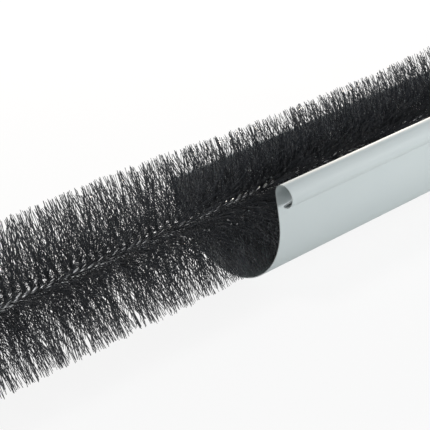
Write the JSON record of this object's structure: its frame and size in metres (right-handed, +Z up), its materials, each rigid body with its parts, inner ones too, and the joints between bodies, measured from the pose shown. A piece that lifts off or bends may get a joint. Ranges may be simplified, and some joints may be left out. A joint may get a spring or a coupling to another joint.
{
  "type": "gutter brush in gutter section",
  "caption": "Half-round sheet-metal rain gutter section with a rolled front bead, and a cylindrical twisted-wire bristle brush lying in it as a leaf guard.",
  "frame": {"origin": "where a bracket's saddle carries the gutter: on the outside of its bottom, halfway along its length", "axes": "+X along the gutter and the brush, from the brush's overhanging end to the gutter's far end; -Y towards the gutter's rolled front bead; +Z up"},
  "size_m": [0.676, 0.1452, 0.1171],
  "materials": {
    "coated_sheet": "satin, light grey coil coating",
    "bristle": "black extruded polypropylene filament, slightly shiny",
    "core_wire": "galvanised drawn wire"
  },
  "bodies": {
    "gutter": {"gutter_channel": "coated_sheet"},
    "brush": {"bristle_fill": "bristle", "core_wire_1": "core_wire", "core_wire_2": "core_wire", "core_wire_3": "core_wire", "core_wire_4": "core_wire"}
  },
  "joints": [
    {"name": "brush_lift", "type": "slide", "parent": "gutter", "child": "brush", "axis": [0, 0, 1], "range_m": [0, 0.14]}
  ]
}
